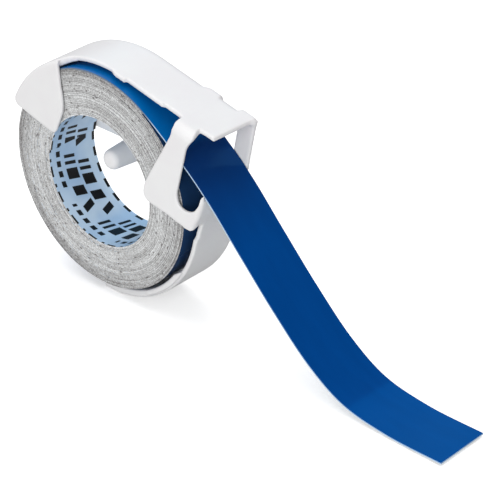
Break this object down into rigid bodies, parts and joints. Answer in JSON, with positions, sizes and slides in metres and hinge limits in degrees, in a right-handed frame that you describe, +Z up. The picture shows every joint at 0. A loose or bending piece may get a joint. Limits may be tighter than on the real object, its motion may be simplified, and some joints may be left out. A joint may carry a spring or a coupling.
{
  "type": "embossing tape cassette",
  "caption": "Moulded plastic tape holder with a coreless roll of glossy embossing tape on printed release liner, its free end fed out through the guide.",
  "frame": {"origin": "bottom centre of the bounding box, at the level of the surface the holder's foot and the tape's end rest on", "axes": "+X the way the tape leaves the guide, +Y along the roll's axis towards the closed back plate, +Z up"},
  "size_m": [0.1054, 0.0142, 0.0486],
  "materials": {
    "holder_plastic": "satin white polypropylene, slightly translucent",
    "vinyl": "glossy calendered blue film",
    "release_liner": "coated release paper with a dark printed pattern",
    "wound_edge": "cut edges of the wound tape, matt and speckled"
  },
  "bodies": {
    "holder": {"holder": "holder_plastic"},
    "roll": {"liner_inner_turn": "release_liner", "vinyl_inner_turn": "vinyl", "middle_turns": "wound_edge", "liner_outer_turn": "release_liner", "vinyl_outer_turn": "vinyl"},
    "leader": {"liner_leader": "release_liner", "vinyl_leader": "vinyl"}
  },
  "joints": [
    {"name": "roll_spin", "type": "hinge", "parent": "holder", "child": "roll", "pos_m": [-0.03033, 0, 0.0242], "axis": [0, 1, 0], "range_deg": [0, 60]},
    {"name": "tape_feed", "type": "slide", "parent": "holder", "child": "leader", "axis": [1, 0, 0], "range_m": [0, 0.0237]}
  ],
  "couplings": [
    {"joint": "tape_feed", "follows": "roll_spin", "m_per_rad": 0.0225}
  ]
}
